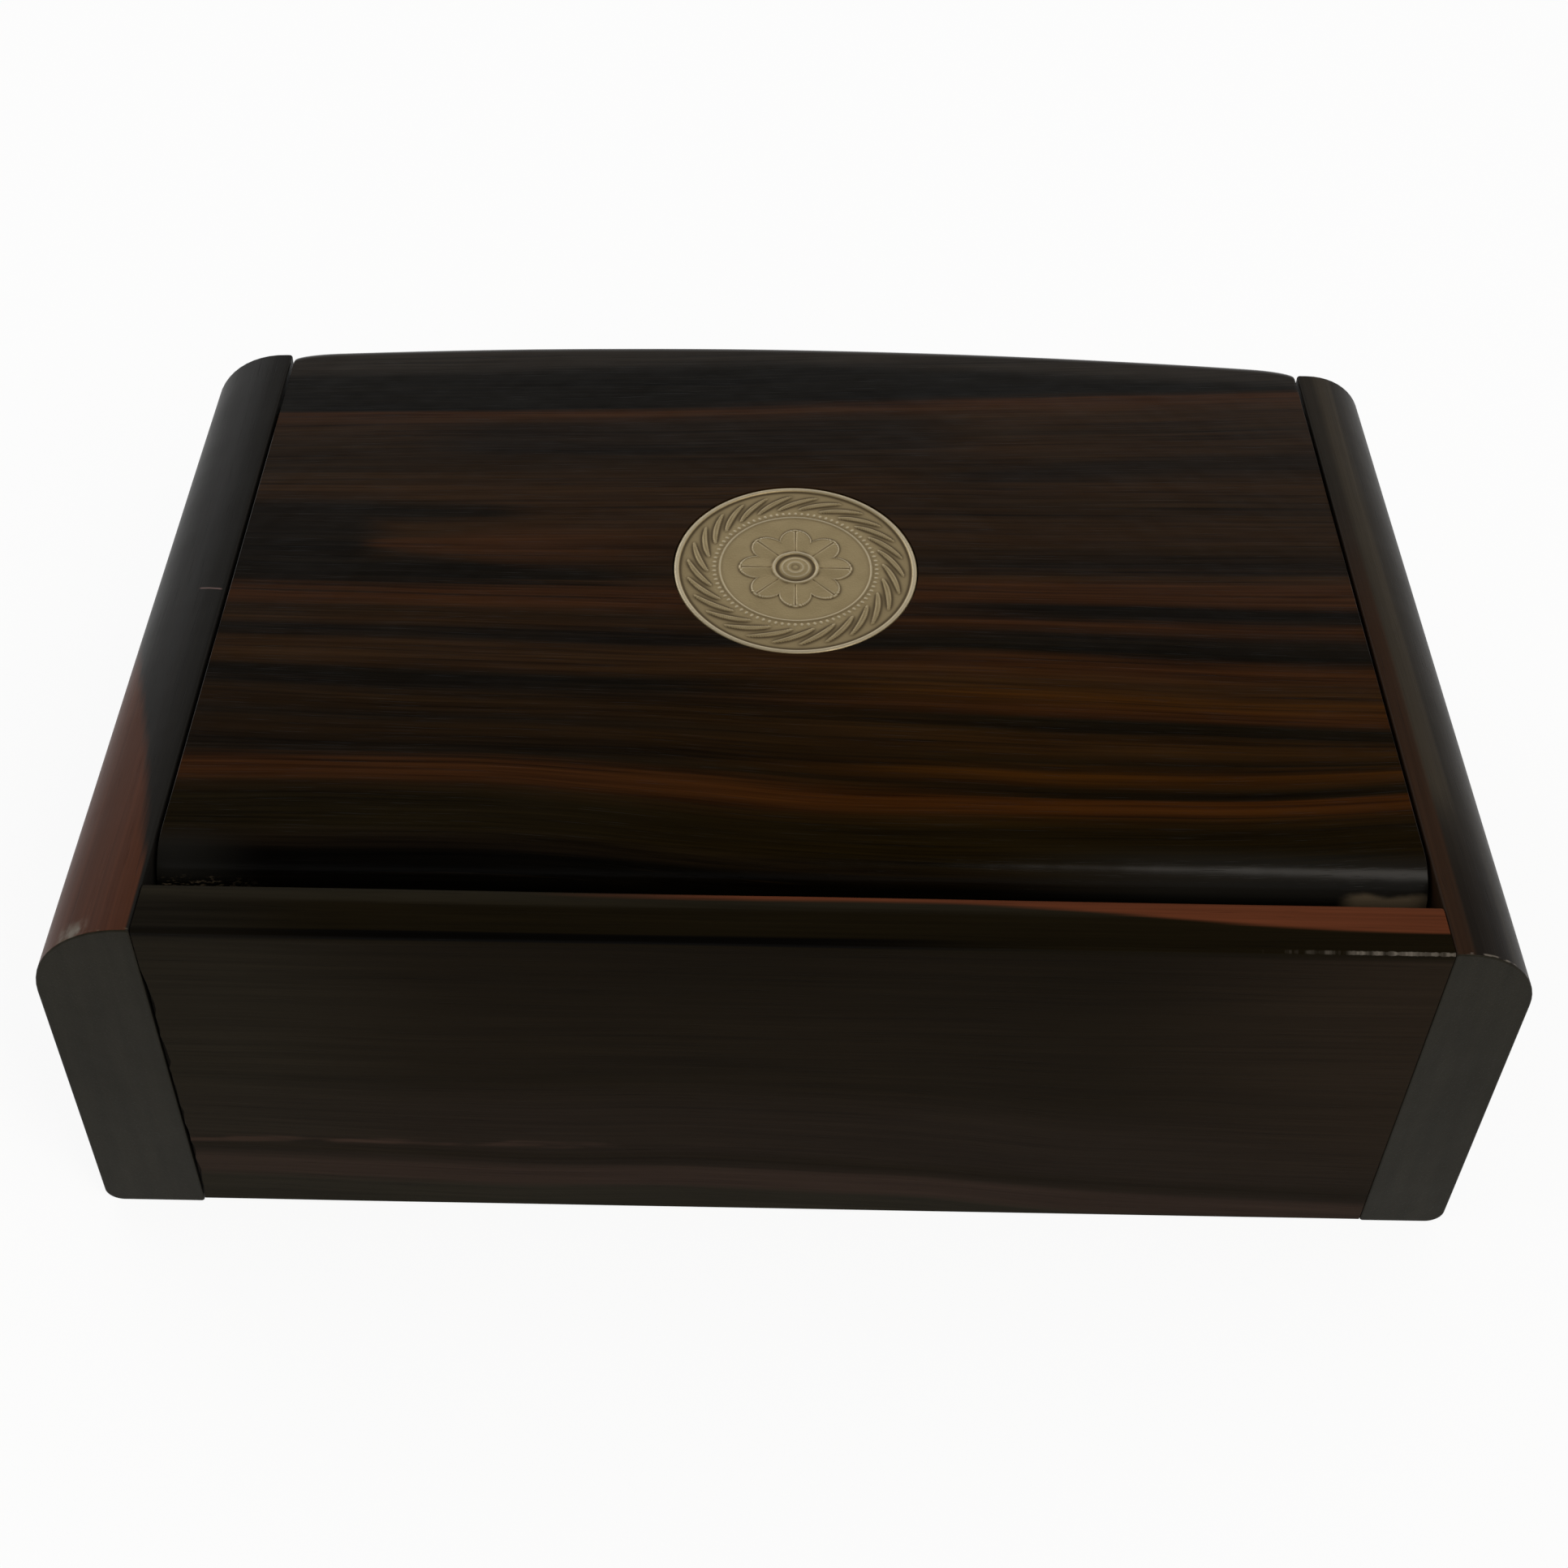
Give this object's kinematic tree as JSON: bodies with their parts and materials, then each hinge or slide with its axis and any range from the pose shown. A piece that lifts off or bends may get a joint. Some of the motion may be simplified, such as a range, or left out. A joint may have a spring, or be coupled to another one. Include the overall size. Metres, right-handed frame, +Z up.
{
  "type": "money box",
  "caption": "Low rectangular wooden money and keepsake box with a bull-nosed lid between two thick rounded ends, hinged on blind pins, with a coin set flush in the lid.",
  "frame": {"origin": "centre of the whole object's footprint, on the surface that it rests on", "axes": "+Z up, +X along the hinge from the left end to the right end seen from the hinge side, +Y from the hinge side to the lid's lip"},
  "size_m": [0.154, 0.0996, 0.05],
  "materials": {
    "end_wood": "satin polish over near-black ebony, reddish brown on the rounded left edge",
    "board_wood": "dull satin over dark olive brown wood with reddish streaks",
    "bottom_wood": "bare matte dark brown wood",
    "dowel_wood": "bare matte light hardwood",
    "pin_brass": "drawn brass, slightly dulled",
    "lid_wood": "satin polish over near-black wood with red-brown and golden streaks",
    "coin_metal": "worn copper-nickel with a brownish tarnish in the relief"
  },
  "bodies": {
    "case": {"left_end": "end_wood", "right_end": "end_wood", "rear_board": "board_wood", "front_board": "board_wood", "bottom_board": "bottom_wood", "rear_dowels": "dowel_wood", "front_dowels": "dowel_wood", "hinge_pin_left": "pin_brass", "hinge_pin_right": "pin_brass"},
    "lid": {"lid": "lid_wood", "coin": "coin_metal"}
  },
  "joints": [
    {"name": "lid_hinge", "type": "hinge", "parent": "case", "child": "lid", "pos_m": [0, -0.03645, 0.04525], "axis": [1, 0, 0], "range_deg": [0, 110]}
  ]
}
